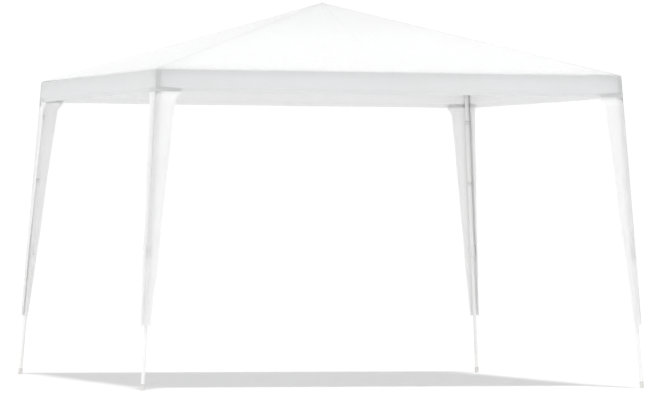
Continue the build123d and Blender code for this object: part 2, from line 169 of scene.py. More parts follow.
class FinishSettings(bpy.types.PropertyGroup):
    """Colours and thicknesses of the cloth and the frame."""

    cloth_thickness: length("Cloth thickness", "Thickness of the coated cloth", 0.001)
    thread_pitch: length("Thread pitch", "Spacing of the cloth's threads", 0.0022)
    roof_colour: colour("Roof", "Colour of the roof cloth", (0.8, 0.803, 0.806))
    # Painted shade: the valance's face is given a grey, darker than the same white cloth of the roof and covers.
    valance_shaded_colour: colour("Valance", "Colour of the valance", (0.65, 0.656, 0.662))
    cover_colour: colour("Leg covers", "Colour of the leg covers", (0.97, 0.972, 0.972))
    tube_colour: colour("Tubes", "Colour of the powder coat", (0.93, 0.93, 0.925))
    moulding_colour: colour("Mouldings", "Colour of the moulded brackets", (0.87, 0.87, 0.865))
    foot_colour: colour("Feet", "Colour of the feet", (0.8, 0.8, 0.79))


class StageSettings(bpy.types.PropertyGroup):
    """Floor, lights and camera."""

    floor_radius: length("Floor radius", "Radius of the plain floor", 60.0)
    sky: FloatProperty(name="Sky", description="Brightness of the surroundings", default=0.69, min=0.0)
    sun: FloatProperty(name="Sun", description="Strength of the light from above", default=1.2, min=0.0)
    fill: FloatProperty(name="Fill", description="Strength of the soft side lights", default=0.28, min=0.0)
    lens: FloatProperty(name="Lens", description="Focal length on a 36 mm sensor", default=266.0, min=1.0)


setting_groups = {
    "gazebo_roof": RoofSettings,
    "gazebo_valance": ValanceSettings,
    "gazebo_covers": CoverSettings,
    "gazebo_finish": FinishSettings,
    "gazebo_stage": StageSettings,
}

# --- Shader groups -----------------------------------------------


class Wiring:
    """Short hand for laying out nodes in one tree."""

    def __init__(self, tree):
        self.tree = tree

    def add(self, kind, **settings):
        node = self.tree.nodes.new(kind)
        for name, value in settings.items():
            setattr(node, name, value)
        return node

    def feed(self, socket, value):
        if isinstance(value, bpy.types.NodeSocket):
            self.tree.links.new(value, socket)
        else:
            socket.default_value = value

    def math(self, operation, first, second=0.0, clamp=False):
        node = self.add("ShaderNodeMath", operation=operation, use_clamp=clamp)
        self.feed(node.inputs[0], first)
        self.feed(node.inputs[1], second)
        return node.outputs[0]

    def ramp(self, value, low, high, to_low=0.0, to_high=1.0):
        node = self.add("ShaderNodeMapRange", interpolation_type="SMOOTHSTEP")
        for socket, given in zip(node.inputs, (value, low, high, to_low, to_high)):
            self.feed(socket, given)
        return node.outputs[0]

    def axes(self, vector):
        node = self.add("ShaderNodeSeparateXYZ")
        self.feed(node.inputs[0], vector)
        return node.outputs

    def noise(self, vector, scale, detail=3.0, roughness=0.5):
        node = self.add("ShaderNodeTexNoise")
        self.feed(node.inputs["Vector"], vector)
        self.feed(node.inputs["Scale"], scale)
        self.feed(node.inputs["Detail"], detail)
        self.feed(node.inputs["Roughness"], roughness)
        return node.outputs[0]

    def blend(self, share, first, second):
        node = self.add("ShaderNodeMix", data_type="RGBA")
        self.feed(node.inputs[0], share)
        self.feed(node.inputs[6], first)
        self.feed(node.inputs[7], second)
        return node.outputs[2]

    def over(self, base, share, amount, colour):
        """Lays a colour over the base, as strongly as the share times the amount."""
        return self.blend(self.math("MULTIPLY", share, amount), base, colour)

    def stretched(self, vector, scale):
        node = self.add("ShaderNodeMapping")
        self.feed(node.inputs["Vector"], vector)
        self.feed(node.inputs["Scale"], scale)
        return node.outputs[0]

    def group(self, tree, **inputs):
        node = self.add("ShaderNodeGroup", node_tree=tree)
        for name, value in inputs.items():
            self.feed(node.inputs[name.replace("_", " ")], value)
        return node


def new_group(name, inputs, outputs):
    """Empty shader group with its sockets, and the wiring to fill it."""
    tree = bpy.data.node_groups.new(name, "ShaderNodeTree")
    for label, kind in inputs.items():
        tree.interface.new_socket(label, in_out="INPUT", socket_type=kind)
    for label in outputs:
        tree.interface.new_socket(label, in_out="OUTPUT", socket_type="NodeSocketFloat")
    wiring = Wiring(tree)
    return tree, wiring, wiring.add("NodeGroupInput").outputs, wiring.add("NodeGroupOutput").inputs


def weave_group():
    """Plain weave of flat threads: height of the threads, and where the gaps between them are."""
    tree, wiring, given, out = new_group(
        "Plain weave", {"Vector": "NodeSocketVector", "Pitch": "NodeSocketFloat"}, ("Height", "Gap")
    )
    split = wiring.axes(given["Vector"])
    across = wiring.math("DIVIDE", split[0], given["Pitch"])
    along = wiring.math("DIVIDE", split[1], given["Pitch"])
    warp = wiring.math("ABSOLUTE", wiring.math("SINE", wiring.math("MULTIPLY", across, math.pi)))
    weft = wiring.math("ABSOLUTE", wiring.math("SINE", wiring.math("MULTIPLY", along, math.pi)))
    cells = wiring.math("ADD", wiring.math("FLOOR", across), wiring.math("FLOOR", along))
    over = wiring.math("PINGPONG", cells, 1.0)
    upper = wiring.math("MULTIPLY", over, warp)
    lower = wiring.math("MULTIPLY", wiring.math("SUBTRACT", 1.0, over), weft)
    wiring.feed(out["Height"], wiring.math("ADD", upper, lower))
    wiring.feed(out["Gap"], wiring.ramp(wiring.math("MINIMUM", warp, weft), 0.0, 0.35, 1.0, 0.0))
    return tree


def stitch_group():
    """Row of stitches at a distance from a seam: raised thread, and the pucker beside it."""
    tree, wiring, given, out = new_group(
        "Stitch row",
        {"Vector": "NodeSocketVector", "Distance": "NodeSocketFloat", "Stitch": "NodeSocketFloat"},
        ("Thread", "Pucker"),
    )
    split = wiring.axes(given["Vector"])
    offset = wiring.math("ABSOLUTE", wiring.math("SUBTRACT", split[0], given["Distance"]))
    phase = wiring.math("FRACT", wiring.math("DIVIDE", split[1], given["Stitch"]))
    middle = wiring.math("ABSOLUTE", wiring.math("SUBTRACT", phase, 0.5))
    dash = wiring.ramp(middle, 0.34, 0.42, 1.0, 0.0)
    line = wiring.ramp(offset, 0.0004, 0.0010, 1.0, 0.0)
    wiring.feed(out["Thread"], wiring.math("MULTIPLY", line, dash))
    near = wiring.ramp(offset, 0.0, 0.008, 1.0, 0.0)
    wiring.feed(out["Pucker"], wiring.math("MULTIPLY", near, wiring.ramp(middle, 0.0, 0.5, 0.3, 1.0)))
    return tree


def seam_group():
    """Folded layers beside a seam: a step in height at the edge of the fold, and a faint shade over it."""
    tree, wiring, given, out = new_group(
        "Seam allowance", {"Vector": "NodeSocketVector", "Width": "NodeSocketFloat"}, ("Height", "Shade")
    )
    split = wiring.axes(given["Vector"])
    ratio = wiring.math("DIVIDE", split[0], given["Width"])
    wiring.feed(out["Height"], wiring.ramp(ratio, 0.92, 1.04, 1.0, 0.0))
    wiring.feed(out["Shade"], wiring.ramp(ratio, 0.97, 1.03, 1.0, 0.0))
    return tree


def crease_group():
    """Fine creases that cloth keeps from being packed away."""
    tree, wiring, given, out = new_group(
        "Packing creases", {"Vector": "NodeSocketVector", "Size": "NodeSocketFloat"}, ("Height",)
    )
    scale = wiring.math("DIVIDE", 1.0, given["Size"])
    broad = wiring.noise(given["Vector"], scale, 2.0, 0.45)
    crumple = wiring.add("ShaderNodeTexVoronoi", feature="DISTANCE_TO_EDGE")
    wiring.feed(crumple.inputs["Vector"], given["Vector"])
    wiring.feed(crumple.inputs["Scale"], wiring.math("MULTIPLY", scale, 0.8))
    edge = wiring.ramp(crumple.outputs["Distance"], 0.0, 0.12, 1.0, 0.0)
    faint = wiring.math("MULTIPLY", edge, wiring.ramp(broad, 0.5, 0.72, 0.0, 0.5))
    wiring.feed(out["Height"], wiring.math("ADD", broad, faint))
    return tree


def weather_group():
    """Outdoor use: dust that gathers low down, and thin patches of grime higher up."""
    tree, wiring, given, out = new_group(
        "Outdoor dust", {"Vector": "NodeSocketVector", "Reach": "NodeSocketFloat"}, ("Dust", "Grime")
    )
    split = wiring.axes(given["Vector"])
    low = wiring.ramp(split[2], 0.0, given["Reach"], 1.0, 0.0)
    speckle = wiring.ramp(wiring.noise(given["Vector"], 60.0, 5.0, 0.65), 0.42, 0.66)
    patches = wiring.ramp(wiring.noise(given["Vector"], 3.1, 4.0, 0.55), 0.48, 0.75)
    wiring.feed(out["Dust"], wiring.math("MULTIPLY", low, wiring.math("ADD", 0.35, speckle), clamp=True))
    wiring.feed(out["Grime"], patches)
    return tree


def grain_group():
    """Fine surface grain: orange peel of a coating, or the texture of a mould."""
    tree, wiring, given, out = new_group(
        "Surface grain", {"Vector": "NodeSocketVector", "Size": "NodeSocketFloat"}, ("Height", "Scuff")
    )
    scale = wiring.math("DIVIDE", 1.0, given["Size"])
    wiring.feed(out["Height"], wiring.noise(given["Vector"], scale, 2.0, 0.5))
    marks = wiring.noise(wiring.stretched(given["Vector"], (90.0, 90.0, 14.0)), 1.0, 5.0, 0.7)
    wiring.feed(out["Scuff"], wiring.ramp(marks, 0.66, 0.74))
    return tree


group_makers = {
    "Plain weave": weave_group,
    "Stitch row": stitch_group,
    "Seam allowance": seam_group,
    "Packing creases": crease_group,
    "Outdoor dust": weather_group,
    "Surface grain": grain_group,
}


def shader_group(name):
    return bpy.data.node_groups.get(name) or group_makers[name]()


# --- Materials ---------------------------------------------------


def new_material(name):
    """Material with only its shader and output, the wiring to finish it, and the place on the object."""
    material = bpy.data.materials.new(name)
    material.use_nodes = True
    wiring = Wiring(material.node_tree)
    shader = material.node_tree.nodes["Principled BSDF"]
    return material, wiring, shader, wiring.add("ShaderNodeTexCoord").outputs["Object"]


def bump(wiring, shader, height, distance, strength=1.0):
    node = wiring.add("ShaderNodeBump")
    node.inputs["Strength"].default_value = strength
    node.inputs["Distance"].default_value = distance
    wiring.feed(node.inputs["Height"], height)
    wiring.feed(shader.inputs["Normal"], node.outputs["Normal"])


def darker(tint, share):
    return (tint[0] * share, tint[1] * share, tint[2] * share, 1.0)


def cloth_material(name, tint, hem, rows):
    """Coated woven cloth, with painted shade that darkens it towards the peak, and stitch rows at the given
    distances from each seam.
    """
    finish = bpy.context.scene.gazebo_finish
    material, wiring, shader, place = new_material(name)
    cut = wiring.add("ShaderNodeUVMap", uv_map="Cut").outputs[0]
    seam = wiring.add("ShaderNodeUVMap", uv_map="Seam").outputs[0]
    weave = wiring.group(shader_group("Plain weave"), Vector=cut, Pitch=finish.thread_pitch)
    creases = wiring.group(shader_group("Packing creases"), Vector=cut, Size=0.16)
    folded = wiring.group(shader_group("Seam allowance"), Vector=seam, Width=hem)
    dust = wiring.group(shader_group("Outdoor dust"), Vector=place, Reach=0.75)
    thread, pucker = 0.0, 0.0
    for distance in rows:
        row = wiring.group(shader_group("Stitch row"), Vector=seam, Distance=distance, Stitch=0.0042)
        thread = wiring.math("MAXIMUM", row.outputs["Thread"], thread)
        pucker = wiring.math("MAXIMUM", row.outputs["Pucker"], pucker)

    base = wiring.blend(weave.outputs["Gap"], darker(tint, 1.0), darker(tint, 0.93))
    mottle = wiring.ramp(wiring.noise(place, 1.7, 3.0), 0.35, 0.7)
    base = wiring.over(base, mottle, 0.5, darker(tint, 0.975))
    base = wiring.over(base, folded.outputs["Shade"], 0.5, darker(tint, 0.955))
    # Painted shade: the roof cloth is darkened towards the peak, standing in for the shade at the apex.
    painted_peak_shade = wiring.ramp(wiring.axes(place)["Z"], 2.12, 2.42)
    base = wiring.over(base, painted_peak_shade, 0.9, darker(tint, 0.86))
    base = wiring.over(base, thread, 0.7, darker(tint, 0.86))
    base = wiring.over(base, dust.outputs["Grime"], 0.06, (0.62, 0.6, 0.55, 1.0))
    base = wiring.over(base, dust.outputs["Dust"], 0.1, (0.6, 0.56, 0.48, 1.0))
    wiring.feed(shader.inputs["Base Color"], base)
    wiring.feed(shader.inputs["Roughness"], wiring.ramp(weave.outputs["Height"], 0.0, 1.0, 0.78, 0.6))
    shader.inputs["Specular IOR Level"].default_value = 0.3
    shader.inputs["Sheen Weight"].default_value = 0.08
    shader.inputs["Sheen Roughness"].default_value = 0.6
    shader.inputs["Subsurface Weight"].default_value = 1.0
    shader.inputs["Subsurface Radius"].default_value = (1.0, 1.0, 1.0)
    shader.inputs["Subsurface Scale"].default_value = 0.004

    height = wiring.math("MULTIPLY", weave.outputs["Height"], 0.00022)
    height = wiring.math("ADD", height, wiring.math("MULTIPLY", creases.outputs["Height"], 0.0035))
    height = wiring.math("ADD", height, wiring.math("MULTIPLY", folded.outputs["Height"], 0.0007))
    height = wiring.math("ADD", height, wiring.math("MULTIPLY", thread, 0.0004))
    height = wiring.math("SUBTRACT", height, wiring.math("MULTIPLY", pucker, 0.0004))
    bump(wiring, shader, height, 1.0, 0.75)
    return material


def coated_tube_material(name, tint):
    """Powder-coated steel tube with orange peel, chips and dust near the ground."""
    material, wiring, shader, place = new_material(name)
    peel = wiring.group(shader_group("Surface grain"), Vector=place, Size=0.0016)
    dust = wiring.group(shader_group("Outdoor dust"), Vector=place, Reach=0.5)
    scuff = wiring.math("MULTIPLY", peel.outputs["Scuff"], 0.25)
    base = wiring.blend(scuff, darker(tint, 1.0), darker(tint, 0.8))
    base = wiring.over(base, dust.outputs["Grime"], 0.12, darker(tint, 0.85))
    base = wiring.over(base, dust.outputs["Dust"], 0.12, (0.5, 0.47, 0.42, 1.0))
    wiring.feed(shader.inputs["Base Color"], base)
    worn = wiring.math("MAXIMUM", peel.outputs["Scuff"], dust.outputs["Dust"])
    wiring.feed(shader.inputs["Roughness"], wiring.ramp(worn, 0.0, 1.0, 0.34, 0.68))
    bump(wiring, shader, peel.outputs["Height"], 0.00012, 0.8)
    return material


def moulded_material(name, tint, grain, dirt):
    """Moulded nylon or polypropylene with a fine texture, dull high spots and dust in the low ones."""
    material, wiring, shader, place = new_material(name)
    texture = wiring.group(shader_group("Surface grain"), Vector=place, Size=grain)
    dust = wiring.group(shader_group("Outdoor dust"), Vector=place, Reach=0.3)
    base = wiring.blend(texture.outputs["Height"], darker(tint, 0.94), darker(tint, 1.03))
    base = wiring.over(base, texture.outputs["Scuff"], 0.3, darker(tint, 0.86))
    base = wiring.over(base, dust.outputs["Dust"], dirt, (0.42, 0.38, 0.32, 1.0))
    wiring.feed(shader.inputs["Base Color"], base)
    wiring.feed(shader.inputs["Roughness"], wiring.ramp(texture.outputs["Height"], 0.3, 0.7, 0.42, 0.6))
    bump(wiring, shader, texture.outputs["Height"], 0.00015, 0.9)
    return material


def zinc_material(name):
    """Bright zinc plate on the rivets, with dull spangles."""
    material, wiring, shader, place = new_material(name)
    cells = wiring.add("ShaderNodeTexVoronoi", feature="F1")
    wiring.feed(cells.inputs["Vector"], place)
    wiring.feed(cells.inputs["Scale"], 900.0)
    tone = wiring.ramp(cells.outputs["Distance"], 0.1, 0.7)
    plate = wiring.blend(tone, (0.62, 0.62, 0.61, 1.0), (0.46, 0.47, 0.48, 1.0))
    wiring.feed(shader.inputs["Base Color"], plate)
    wiring.feed(shader.inputs["Roughness"], wiring.ramp(tone, 0.0, 1.0, 0.28, 0.5))
    shader.inputs["Metallic"].default_value = 1.0
    return material


def webbing_material(name, tint):
    """Narrow nylon strap with a fine rib across it."""
    material, wiring, shader, place = new_material(name)
    weave = wiring.group(shader_group("Plain weave"), Vector=place, Pitch=0.0012)
    wiring.feed(
        shader.inputs["Base Color"],
        wiring.blend(weave.outputs["Gap"], darker(tint, 1.0), darker(tint, 0.8)),
    )
    wiring.feed(shader.inputs["Roughness"], wiring.ramp(weave.outputs["Height"], 0.0, 1.0, 0.9, 0.7))
    bump(wiring, shader, weave.outputs["Height"], 0.0003)
    return material


def material(name):
    """The finish of that name, made when it is first asked for."""
    finish = bpy.context.scene.gazebo_finish
    makers = {
        "roof_cloth": (cloth_material, finish.roof_colour, 0.012, (0.003, 0.009)),
        "valance_cloth": (cloth_material, finish.valance_shaded_colour, 0.025, (0.0225,)),
        # Painted light: the valance's back is given the covers' near-white, lighter than its face, standing in for
        # light coming through the cloth.
        "valance_lining": (cloth_material, finish.cover_colour, 0.025, (0.0225,)),
        "cover_cloth": (cloth_material, finish.cover_colour, 0.018, (0.0155,)),
        "coated_tube": (coated_tube_material, finish.tube_colour),
        "moulded_nylon": (moulded_material, finish.moulding_colour, 0.0011, 0.25),
        "moulded_foot": (moulded_material, finish.foot_colour, 0.0014, 0.35),
        "zinc_plate": (zinc_material,),
        "strap_webbing": (webbing_material, finish.moulding_colour),
    }
    maker, *given = makers[name]
    return bpy.data.materials.get(name) or maker(name, *given)


def stand(name, data):
    """Object for a mesh, light or camera, in the scene."""
    thing = bpy.data.objects.new(name, data)
    bpy.context.scene.collection.objects.link(thing)
    return thing


# --- Sheets of cloth ---------------------------------------------


def waves(a, b, size, seed, count=9):
    """Smooth uneven waves of about one unit high, the same each time for a seed."""
    random = np.random.default_rng(seed)
    total = np.zeros_like(a)
    for _ in range(count):
        turn, phase = random.uniform(0, 2 * math.pi, 2)
        number = 2 * math.pi / (size * random.uniform(0.6, 1.9))
        total += np.sin(number * (a * math.cos(turn) + b * math.sin(turn)) + phase)
    return total / math.sqrt(count)


def unit_rows(rows):
    return rows / np.linalg.norm(rows, axis=1, keepdims=True)


def sheet_normals(surface, a, b, outward):
    """Direction square to the cloth at each point, so that pieces shade as one sheet where they meet."""
    step = 0.0015
    along_a = surface(a + step, b) - surface(a - step, b)
    along_b = surface(a, b + step) - surface(a, b - step)
    normals = unit_rows(np.cross(along_a, along_b))
    return normals if (normals @ np.array(outward)).mean() > 0 else -normals


def store(bm, layer_name, values):
    layer = bm.verts.layers.float_vector.new(layer_name)
    for vert, value in zip(bm.verts, values):
        vert[layer] = value


def at_corners(mesh, attribute):
    """Values of a per-point attribute at each corner of the faces."""
    values = np.empty(len(mesh.vertices) * 3)
    mesh.attributes[attribute].data.foreach_get("vector", values)
    corners = np.empty(len(mesh.loops), dtype=np.int32)
    mesh.loops.foreach_get("vertex_index", corners)
    return values.reshape(-1, 3)[corners]


def write_uv(mesh, name, attribute):
    """Copies a per-point attribute into a UV map."""
    values = at_corners(mesh, attribute)[:, :2].ravel()
    mesh.uv_layers.new(name=name).data.foreach_set("uv", values)


def set_cloth_normals(mesh):
    """Shades both sides of the cloth by the stored direction, and its cut edges by their own faces."""
    faces = np.empty(len(mesh.polygons) * 3)
    mesh.polygons.foreach_get("normal", faces)
    sizes = np.empty(len(mesh.polygons), dtype=np.int32)
    mesh.polygons.foreach_get("loop_total", sizes)
    face_rows = np.repeat(faces.reshape(-1, 3), sizes, axis=0)
    side_rows = at_corners(mesh, "cloth_side")
    facing = (face_rows * side_rows).sum(axis=1)
    chosen = np.where((np.abs(facing) > 0.4)[:, None], side_rows * np.sign(facing)[:, None], face_rows)
    mesh.normals_split_custom_set(chosen)


def new_mesh(name, bm):
    mesh = bpy.data.meshes.new(name)
    bm.to_mesh(mesh)
    bm.free()
    return mesh


def add_back(bm, thickness):
    """Gives the sheet its other side, in the second finish, and closes the cut edges between the two."""
    side = bm.verts.layers.float_vector["cloth_side"]
    made = bmesh.ops.extrude_face_region(bm, geom=bm.faces[:], use_keep_orig=True)
    for part in made["geom"]:
        if isinstance(part, bmesh.types.BMVert):
            part.co -= part[side] * thickness
        elif isinstance(part, bmesh.types.BMFace):
            part.material_index = 1
    bmesh.ops.recalc_face_normals(bm, faces=bm.faces[:])
    if bm.calc_volume(signed=True) < 0:
        bmesh.ops.reverse_faces(bm, faces=bm.faces[:])


def cloth_piece(name, bm, surface, outward, seam, finish_name, slot_name, back_side_finish=None):
    """Object for one piece of cloth. The bmesh holds the flat cut, and `surface` says where each point hangs.

    `seam` gives the distance to the nearest seam and the distance along it, from the same flat coordinates.
    """
    flat = np.array([vert.co[:] for vert in bm.verts])
    a, b = flat[:, 0], flat[:, 1]
    places = surface(a, b)
    store(bm, "cloth_side", sheet_normals(surface, a, b, outward))
    store(bm, "cut_place", flat)
    store(bm, "seam_place", np.column_stack((*seam(a, b), np.zeros_like(a))))
    for vert, place in zip(bm.verts, places):
        vert.co = place
    add_back(bm, bpy.context.scene.gazebo_finish.cloth_thickness)
    mesh = new_mesh(name, bm)
    write_uv(mesh, "Cut", "cut_place")
    write_uv(mesh, "Seam", "seam_place")
    mesh.shade_smooth()
    set_cloth_normals(mesh)
    for attribute in ("cloth_side", "cut_place", "seam_place"):
        mesh.attributes.remove(mesh.attributes[attribute])
    mesh.materials.append(material(finish_name))
    mesh.materials.append(material(back_side_finish or finish_name))
    piece = stand(name, mesh)
    return piece


def nearer(to_one, along_one, to_other, along_other):
    """Distance to the nearer of two seams, and the distance along it."""
    first = to_one < to_other
    return np.where(first, to_one, to_other), np.where(first, along_one, along_other)


def flat_cut(a_range, b_range, cell):
    """Flat rectangle of cloth in cells, as a bmesh in the plane of its cut."""
    columns = max(1, round((a_range[1] - a_range[0]) / cell))
    rows = max(1, round((b_range[1] - b_range[0]) / cell))
    width, height = a_range[1] - a_range[0], b_range[1] - b_range[0]
    middle = ((a_range[0] + a_range[1]) / 2, (b_range[0] + b_range[1]) / 2, 0)
    placed = Matrix.Translation(middle) @ Matrix.Diagonal((width / 2, height / 2, 1, 1))
    bm = bmesh.new()
    bmesh.ops.create_grid(bm, x_segments=columns, y_segments=rows, size=1.0, matrix=placed)
    return bm


# --- Roof --------------------------------------------------------

peak_patch = 0.05  # half the width of the piece that stays on the hub
upper_reach = 0.4  # how far out the pieces on the inner ribs reach
eave_round = 0.005
eave_turn = 0.003  # drop of the cloth as it turns over the eave
gather_spacing = 0.062  # of the small gathers along the eave seam
roof_finish = ("roof_cloth", "canopy_fabric")


def roof_heights(x, y):
    """Height of the roof cloth: soft ridges, a sag between them, and folds from the corners and the peak."""
    roof = bpy.context.scene.gazebo_roof
    wide, narrow = np.maximum(abs(x), abs(y)), np.minimum(abs(x), abs(y))
    gap = wide - narrow
    soft = 0.5 * (wide + narrow + np.sqrt(gap**2 + roof.ridge_softness**2))
    down = wide / half_roof
    share = narrow / np.maximum(wide, 1e-4)
    heights = peak_height - roof_slope * (soft - 0.5 * roof.ridge_softness * down**2)
    hang = np.clip(1 - share**2, 0, 1) ** 1.4 * np.clip(np.sin(math.pi * np.clip(down, 0, 1) ** 1.15), 0, 1)
    heights -= roof.sag * hang

    to_corner = np.hypot(half_roof - wide, half_roof - narrow)
    angle = np.arctan2(gap, np.maximum(2 * half_roof - wide - narrow, 1e-4))
    strength = np.exp(-to_corner / 0.42) * (1 - np.exp(-to_corner / 0.05))
    seeded = waves(np.sign(x) * 3.0 + np.sign(y) * 7.0 + (abs(x) > abs(y)), y * 0, 5.0, 11, 3)
    heights += roof.pull_folds * strength * np.sin(angle * 21 + 2.5 * seeded)
    to_peak = np.hypot(x, y)
    strength = np.exp(-to_peak / 0.3) * (1 - np.exp(-to_peak / 0.05)) * np.clip(gap / 0.05, 0, 1)
    heights += 0.8 * roof.pull_folds * strength * np.sin(np.arctan2(y, x) * 28 + seeded)

    from_eave = np.clip(half_roof - wide, 0, None)
    gathers = np.sin(narrow * 2 * math.pi / gather_spacing + 3 * waves(x, y, 0.7, 5))
    gathers *= np.exp(-from_eave / 0.07)
    heights += roof.eave_gathers * gathers * (1 - np.exp(-from_eave / 0.01))
    edge_hold = 1 - np.exp(-from_eave / 0.12)
    heights += roof.unevenness * waves(x, y, 0.75, 2) * edge_hold * np.clip(gap / 0.25, 0, 1) ** 0.5
    heights += 0.25 * roof.unevenness * waves(x, y, 0.16, 3) * edge_hold
    turn = np.clip((wide - half_roof + eave_round) / eave_round, 0, None)
    return heights - eave_turn * turn**2


def roof_surface(x, y):
    return np.column_stack((x, y, roof_heights(x, y)))


def roof_seam(x, y):
    """Distance to the nearest ridge seam or to the eave, and the distance along it."""
    to_ridge = abs(abs(x) - abs(y)) / math.sqrt(2)
    to_eave = half_roof - np.maximum(abs(x), abs(y))
    along_ridge = (abs(x) + abs(y)) / math.sqrt(2)
    return nearer(to_eave, np.where(abs(x) > abs(y), y, x), to_ridge, along_ridge)


def off_ridge(side, end):
    """Level direction square to the ridge at that end of a side, pointing into the side."""
    out, run = side_outward[side], side_outward[end]
    return Vector((out[0] - run[0], out[1] - run[1], 0)).normalized()


def half_gore(side, end, near, far):
    """Flat cut of half a roof side, from its middle to the ridge, between two distances from the peak."""
    out, run = side_outward[side], side_outward[end]
    cell = bpy.context.scene.gazebo_roof.cell
    spans = (sorted((out[axis] * near, (out[axis] + run[axis]) * far)) for axis in (0, 1))
    bm = flat_cut(*spans, cell)
    cut = dict(plane_co=(0, 0, 0), plane_no=-off_ridge(side, end), clear_outer=True, dist=1e-6)
    bmesh.ops.bisect_plane(bm, geom=bm.verts[:] + bm.edges[:] + bm.faces[:], **cut)
    edge = half_roof - cell
    for vert in bm.verts:
        for axis in (0, 1):
            if abs(abs(vert.co[axis]) - edge) < 1e-5:
                vert.co[axis] = math.copysign(half_roof - eave_round, vert.co[axis])
    return bm


def roof_piece(name, bm):
    return cloth_piece(name, bm, roof_surface, (0, 0, 1), roof_seam, *roof_finish)


class GAZEBO_OT_roof(bpy.types.Operator):
    """Makes the sewn roof: one continuous cloth, cut where the frame folds"""

    bl_idname = "gazebo.roof"
    bl_label = "Make roof"

    def execute(self, context):
        width = (-peak_patch, peak_patch)
        peak = roof_piece("roof_peak", flat_cut(width, width, context.scene.gazebo_roof.cell))
        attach(peak, "hub")
        for side, end in half_sides:
            self.make_upper(side, end)
            self.make_lower(side, end)
        return {"FINISHED"}

    def make_upper(self, side, end):
        corner = corner_of(side, end)
        piece = roof_piece(f"roof_upper_{side}_{end}", half_gore(side, end, peak_patch, upper_reach))
        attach(piece, f"inner_rib_{corner}")
        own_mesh(piece)
        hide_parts(f"canopy_{corner}")

    def make_lower(self, side, end):
        piece = roof_piece(f"roof_lower_{side}_{end}", half_gore(side, end, upper_reach, half_roof))
        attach(piece, f"eave_bar_{side}_{end}")
        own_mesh(piece)
        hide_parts(f"canopy_{corner_of(side, end)}")


# --- Valance -----------------------------------------------------

hem_start = 0.802  # where the doubled edge starts, as a share of the drop
valance_rows = (0.0, 0.05, 0.12, 0.24, 0.38, 0.52, 0.64, 0.74, hem_start, 0.818, 0.83, 0.91, 0.985, 1.0)
valance_drop = eave_height - eave_turn - hem_height
# The valance's face takes the grey painted-shade finish, and its back takes the lighter painted-light finish.
valance_finish = ("valance_cloth", "canopy_fabric", "valance_lining")


def valance_surface(side, end):
    """Surface of half a side's valance. First coordinate along the side from its middle, second down."""
    out, run = side_outward[side], side_outward[end]
    seed = 20 + sorted(side_outward).index(side) * 2 + side_ends[side].index(end)

    def place(along, down):
        valance = bpy.context.scene.gazebo_valance
        share = down / valance_drop
        reach = half_roof + hem_lean * share
        hold = 1 - np.exp(-np.clip(half_roof - along, 0, None) / 0.05)
        shared = waves(along * end_sign(end), np.zeros_like(along), 0.33, 40 + len(side), 6)
        fine = waves(along * end_sign(end), down * 0.6, 0.11, seed // 2 + 60, 6)
        ripple = valance.ripple * np.clip(share, 0, 1) ** 1.3 * (0.75 * shared + 0.25 * fine) * hold
        gathers = np.sin(along * 2 * math.pi / gather_spacing + shared)
        puckers = 0.0007 * gathers * np.exp(-down / 0.02) * hold
        hem = 0.0008 * np.clip((share - hem_start) / 0.016, 0, 1)
        distance = reach + ripple + puckers + hem
        sideways = along * (reach / half_roof)
        x = out[0] * distance + run[0] * sideways
        y = out[1] * distance + run[1] * sideways
        dip = 0.0015 * waves(along * end_sign(end), np.zeros_like(along), 0.6, 71, 5) * hold
        return np.column_stack((x, y, eave_height - eave_turn - down + dip * np.clip(share, 0, 1)))

    return place


def valance_seam(along, down):
    """Distance to the lower edge or to the corner, and the distance along it."""
    return nearer(valance_drop - down, along, half_roof - along, down)


def end_sign(end):
    """-1 or 1, so that waves run on through the middle of a side."""
    return 1.0 if sum(side_outward[end]) > 0 else -1.0


class GAZEBO_OT_valance(bpy.types.Operator):
    """Makes the hanging strip along the eave, in two halves a side"""

    bl_idname = "gazebo.valance"
    bl_label = "Make valance"

    def execute(self, context):
        for side, end in half_sides:
            name = f"valance_{side}_{end}"
            place = valance_surface(side, end)
            outward = (*side_outward[side], 0)
            piece = cloth_piece(name, self.cut(), place, outward, valance_seam, *valance_finish)
            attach(piece, f"eave_bar_{side}_{end}")
            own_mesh(piece)
            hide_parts(f"canopy_{corner_of(side, end)}")
        return {"FINISHED"}

    def cut(self):
        """Flat half strip with close rows at its hem."""
        columns = round(half_roof / bpy.context.scene.gazebo_roof.cell)
        rows = len(valance_rows) - 1
        bm = bmesh.new()
        bmesh.ops.create_grid(bm, x_segments=columns, y_segments=rows, size=0.5)
        spread = np.linspace(0, 1, rows + 1)
        for vert in bm.verts:
            vert.co.x = (vert.co.x + 0.5) * half_roof
            vert.co.y = float(np.interp(vert.co.y + 0.5, spread, valance_rows)) * valance_drop
        return bm


# --- Leg covers --------------------------------------------------


def cover_lines(corner):
    """A leg's upward direction, the directions of its cover's two sides, and its axis at the cover's top."""
    foot, up = leg_line(corner)
    sx, sy = corner_signs[corner]
    sides = []
    for level in (Vector((-sx, 0, 0)), Vector((0, -sy, 0))):
        sides.append((level - up * level.dot(up)).normalized())
    return up, sides, foot + up * ((cover_high.z - foot.z) / up.z)


def cover_sizes():
    """Top and foot widths of a cover side, its length down the leg, and its fold's distance from the axis."""
    up, (first, _), top = cover_lines("rear_right")
    points = mesh_points(frame["nodes"]["leg_cover_rear_right"].data)
    relative = points - np.array(top)
    along = -(relative @ np.array(up))
    across = relative @ np.array(first)
    fold = across.min()
    top_width = across[along < along.min() + 0.02].max() - fold
    foot_width = across[along > along.max() - 0.02].max() - fold
    return float(top_width), float(foot_width), float(along.max()), float(-fold)


cover_top_width, cover_foot_width, cover_length, fold_offset = cover_sizes()
cover_finish = ("cover_cloth", "cover_fabric")


def cover_seam(share, down):
    """Distance to the cover's edge or to its foot, and the distance along it."""
    widening = (cover_foot_width - cover_top_width) * down / cover_length
    to_edge = (1 - abs(share)) * (cover_top_width + widening)
    middle_width = (cover_top_width + cover_foot_width) / 2
    return nearer(cover_length - down, share * middle_width, to_edge, down)


